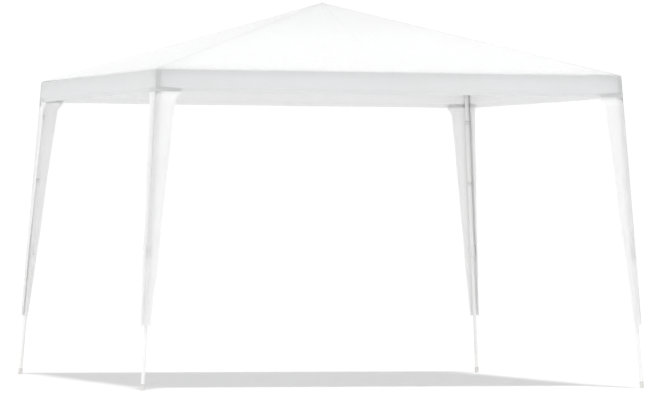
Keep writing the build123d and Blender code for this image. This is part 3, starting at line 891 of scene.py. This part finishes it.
def cover_surface(corner, seed):
    """Surface of a leg cover. First coordinate across, from -1 over the fold at 0 to 1; second down."""
    up, (first, second), top = cover_lines(corner)
    first, second, up = np.array(first), np.array(second), np.array(up)
    origin = np.array(top) - (first + second) * fold_offset

    def place(share, down):
        covers = bpy.context.scene.gazebo_covers
        ratio = np.clip(down / cover_length, 0, 1)
        width = cover_top_width + (cover_foot_width - cover_top_width) * ratio
        width = width + covers.flare * np.clip(1 - down / covers.flare_drop, 0, 1) ** 2
        width = width + 0.0022 * waves(down, share * 0.02, 0.3, seed, 6)
        across = share * width
        rounding = covers.fold_round
        one = 0.5 * (across + np.sqrt(across**2 + rounding**2)) - 0.25 * rounding
        other = 0.5 * (-across + np.sqrt(across**2 + rounding**2)) - 0.25 * rounding
        loose = np.clip(abs(share), 0, 1) ** 1.5
        folds = covers.slack * waves(across, down * 0.32, 0.22, seed + 1, 8) * loose
        tuck = 0.005 * np.clip((0.045 - down) / 0.03, 0, 1)
        push = folds - tuck - 0.0006
        one_in = np.where(share < 0, push, 0.0)
        other_in = np.where(share > 0, push, 0.0)
        lean = tuck[:, None] * (first + second)[None, :]
        return (
            origin
            + np.outer(one, first)
            + np.outer(other, second)
            - np.outer(down, up)
            - np.outer(other_in + tuck * (share > 0), second)
            - np.outer(one_in + tuck * (share <= 0), first)
            + lean
        )

    return place


class GAZEBO_OT_leg_covers(bpy.types.Operator):
    """Makes the tapered cloth covers that hang from the valance along the legs"""

    bl_idname = "gazebo.leg_covers"
    bl_label = "Make leg covers"

    def execute(self, context):
        covers = context.scene.gazebo_covers
        for index, (corner, (sx, sy)) in enumerate(corner_signs.items()):
            name = f"leg_cover_cloth_{corner}"
            place = cover_surface(corner, 80 + 3 * index)
            piece = cloth_piece(name, self.cut(covers.tuck), place, (sx, sy, 0), cover_seam, *cover_finish)
            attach(piece, f"corner_{corner}")
            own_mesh(piece)
            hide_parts(f"leg_cover_{corner}")
        return {"FINISHED"}

    def cut(self, tuck):
        """Flat cover, with closer columns along the fold."""
        bm = bmesh.new()
        bmesh.ops.create_grid(bm, x_segments=36, y_segments=118, size=0.5)
        for vert in bm.verts:
            bias = vert.co.x * 2
            vert.co.x = math.copysign(abs(bias) ** 1.25, bias)
            vert.co.y = (vert.co.y + 0.5) * (cover_length + tuck) - tuck
        return bm


# --- Straps ------------------------------------------------------

strap_width = 0.025
strap_thickness = 0.0012
strap_gap = 0.0006  # between a strap and the bar inside it
strap_tail = 0.004
bar_strap_places = (-0.28, 0.3)  # from the middle of each bar
leg_strap_places = (1.72, 1.3)  # along the leg from the ground
leg_strap_radius = 0.0147


def strap_loop(name, centre, along, radius, tail_direction):
    """Flat strap once round a tube, with its pressed-together tail."""
    bm = bmesh.new()
    bmesh.ops.create_circle(bm, cap_ends=False, segments=40, radius=radius)
    made = bmesh.ops.extrude_edge_only(bm, edges=bm.edges[:])
    rise = [g for g in made["geom"] if isinstance(g, bmesh.types.BMVert)]
    bmesh.ops.translate(bm, verts=rise, vec=(0, 0, strap_width))
    for vert in bm.verts:
        if vert.co.x > radius * 0.93:
            vert.co.x += strap_tail
            vert.co.y *= 0.4
    bmesh.ops.translate(bm, verts=bm.verts[:], vec=(0, 0, -strap_width / 2))
    bmesh.ops.recalc_face_normals(bm, faces=bm.faces[:])
    outward = sum(face.normal.dot(face.calc_center_median() * Vector((1, 1, 0))) for face in bm.faces)
    if outward < 0:
        bmesh.ops.reverse_faces(bm, faces=bm.faces[:])
    axis = Vector(along).normalized()
    side = (Vector(tail_direction) - axis * Vector(tail_direction).dot(axis)).normalized()
    turn = Matrix((side, axis.cross(side), axis)).transposed().to_4x4()
    bmesh.ops.transform(bm, matrix=Matrix.Translation(centre) @ turn, verts=bm.verts[:])
    mesh = new_mesh(name, bm)
    mesh.shade_smooth()
    mesh.materials.append(material("strap_webbing"))
    piece = stand(name, mesh)
    wall = piece.modifiers.new("Strap thickness", "SOLIDIFY")
    wall.thickness = strap_thickness
    wall.offset = 1.0
    return piece


class GAZEBO_OT_straps(bpy.types.Operator):
    """Makes the hook and loop straps that hold the canopy to the eave bars and the covers to the legs"""

    bl_idname = "gazebo.straps"
    bl_label = "Make straps"

    def execute(self, context):
        for side, end in half_sides:
            bar = f"eave_bar_{side}_{end}"
            low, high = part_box(bar)
            run = Vector((*side_outward[end], 0))
            middle = (low + high) / 2
            radius = (high.z - low.z) / 2 + strap_gap
            for number, shift in enumerate(bar_strap_places):
                centre = middle + run * shift
                strap = strap_loop(f"bar_strap_{side}_{end}_{number}", centre, run, radius, (0, 0, 1))
                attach(strap, bar)
        for corner, (sx, sy) in corner_signs.items():
            foot, up = leg_line(corner)
            for number, height in enumerate(leg_strap_places):
                centre = foot + up * height
                loop = strap_loop(f"leg_strap_{corner}_{number}", centre, up, leg_strap_radius, (sx, sy, 0))
                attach(loop, f"corner_{corner}")
        return {"FINISHED"}


# --- Frame finishes ----------------------------------------------

frame_finishes = {
    "painted_tube": "coated_tube",
    "moulded_plastic": "moulded_nylon",
    "zinc_steel": "zinc_plate",
    "foot_plastic": "moulded_foot",
    "canopy_fabric": "roof_cloth",
    "cover_fabric": "cover_cloth",
}
rivet_reach = 0.00505  # just past a rivet head's edge


def mark_rivets(mesh, finish_slot):
    """Gives the faces round every hinge axis the last material of the mesh."""
    points = mesh_points(mesh)
    near = np.zeros(len(points), dtype=bool)
    for joint in frame["joints"]:
        if joint["type"] == "hinge":
            axis = np.array(joint["axis"], dtype=float)
            offset = points - np.array(joint["pos_m"], dtype=float)
            along = offset @ axis
            away = np.linalg.norm(offset - np.outer(along, axis), axis=1)
            near |= (away < rivet_reach) & (abs(along) < 0.03)
    slots = np.zeros(len(mesh.polygons), dtype=np.int32)
    for polygon in mesh.polygons:
        if all(near[index] for index in polygon.vertices):
            slots[polygon.index] = finish_slot
    mesh.polygons.foreach_set("material_index", slots)


class GAZEBO_OT_frame(bpy.types.Operator):
    """Finishes the tubes, mouldings, rivets and feet of the frame"""

    bl_idname = "gazebo.frame"
    bl_label = "Finish frame"

    def execute(self, context):
        slots = {part["node"]: part["material_slot"] for part in frame["record"]["subparts"]}
        for name, node in frame["nodes"].items():
            finish_name = frame_finishes[slots[name]]
            if finish_name in ("roof_cloth", "cover_cloth"):
                finish_name = "strap_webbing"
            node.data.materials.clear()
            node.data.materials.append(material(finish_name))
            riveted = name.startswith(("rib_knuckle", "corner_bracket", "eave_link", "eave_bar"))
            if riveted:
                node.data.materials.append(material("zinc_plate"))
                mark_rivets(node.data, 1)
        return {"FINISHED"}


# --- Stage -------------------------------------------------------

camera_place = (-8.979, -29.721, 0.987)
camera_heading, camera_tilt, camera_roll = -16.86, 90.31, 0.3
# Name, turn from the front and share of the fill of each low, broad light.
side_lights = (("left_fill", -80, 1.7), ("front_fill", 8, 1.0))


class GAZEBO_OT_stage(bpy.types.Operator):
    """Makes the plain floor, the soft light and the camera"""

    bl_idname = "gazebo.stage"
    bl_label = "Make stage"

    def execute(self, context):
        stage = context.scene.gazebo_stage
        self.make_floor(stage)
        self.make_light(context, stage)
        self.make_camera(context, stage)
        context.scene.view_settings.view_transform = "Standard"
        return {"FINISHED"}

    def make_floor(self, stage):
        bm = bmesh.new()
        bmesh.ops.create_circle(bm, cap_ends=True, segments=96, radius=stage.floor_radius)
        mesh = new_mesh("floor", bm)
        pale, wiring, shader, place = new_material("pale_floor")
        tone = wiring.noise(place, 0.6, 2.0)
        wiring.feed(
            shader.inputs["Base Color"],
            wiring.blend(tone, (0.945, 0.945, 0.945, 1.0), (0.955, 0.955, 0.955, 1.0)),
        )
        shader.inputs["Roughness"].default_value = 1.0
        shader.inputs["Specular IOR Level"].default_value = 0.0
        mesh.materials.append(pale)
        stand("floor", mesh)

    def make_light(self, context, stage):
        world = bpy.data.worlds.new("Soft surroundings")
        context.scene.world = world
        world.use_nodes = True
        wiring = Wiring(world.node_tree)
        background = world.node_tree.nodes["Background"]
        seen = wiring.add("ShaderNodeLightPath").outputs["Is Camera Ray"]
        wiring.feed(background.inputs["Strength"], wiring.ramp(seen, 0.0, 1.0, stage.sky, 1.02))
        background.inputs["Color"].default_value = (1.0, 1.0, 1.0, 1.0)
        light = bpy.data.lights.new("overhead_sun", "SUN")
        light.energy = stage.sun
        light.angle = math.radians(7)
        self.place_sun(context, light, tilt=12, turn=0)
        for name, turn, share in side_lights:
            side = bpy.data.lights.new(name, "SUN")
            side.energy = stage.fill * share
            side.angle = math.radians(40)
            self.place_sun(context, side, tilt=79, turn=turn)

    def place_sun(self, context, light, tilt, turn):
        """Hangs a sun that shines from the given tilt off the vertical, turned from the front."""
        sun = stand(light.name, light)
        sun.rotation_euler = (math.radians(tilt), 0, math.radians(turn))

    def make_camera(self, context, stage):
        lens = bpy.data.cameras.new("view")
        lens.lens = stage.lens
        lens.sensor_width = 36.0
        lens.clip_end = 500.0
        camera = stand("view", lens)
        heading = Matrix.Rotation(math.radians(camera_heading), 4, "Z")
        level = Matrix.Rotation(math.radians(camera_tilt), 4, "X")
        roll = Matrix.Rotation(math.radians(camera_roll), 4, "Z")
        camera.matrix_world = Matrix.Translation(camera_place) @ heading @ level @ roll
        context.scene.camera = camera


# --- Panel and registration --------------------------------------

steps = (
    GAZEBO_OT_stage,
    GAZEBO_OT_frame,
    GAZEBO_OT_roof,
    GAZEBO_OT_valance,
    GAZEBO_OT_leg_covers,
    GAZEBO_OT_straps,
)


class GAZEBO_PT_panel(bpy.types.Panel):
    """Lists the gazebo's pieces and settings"""

    bl_idname = "GAZEBO_PT_panel"
    bl_label = "Folding gazebo"
    bl_space_type = "VIEW_3D"
    bl_region_type = "UI"
    bl_category = "Gazebo"

    def draw(self, context):
        for step in steps:
            self.layout.operator(step.bl_idname)
        for name, group in setting_groups.items():
            box = self.layout.box()
            box.label(text=group.__doc__)
            for setting in group.__annotations__:
                box.prop(getattr(context.scene, name), setting)


def register():
    for name, group in setting_groups.items():
        bpy.utils.register_class(group)
        setattr(bpy.types.Scene, name, PointerProperty(type=group))
    for step in (*steps, GAZEBO_PT_panel):
        bpy.utils.register_class(step)


def unregister():
    for step in reversed((*steps, GAZEBO_PT_panel)):
        bpy.utils.unregister_class(step)
    for name, group in reversed(setting_groups.items()):
        delattr(bpy.types.Scene, name)
        bpy.utils.unregister_class(group)


def main():
    register()
    for step in steps:
        category, action = step.bl_idname.split(".")
        getattr(getattr(bpy.ops, category), action)()


if __name__ == "__main__":
    main()
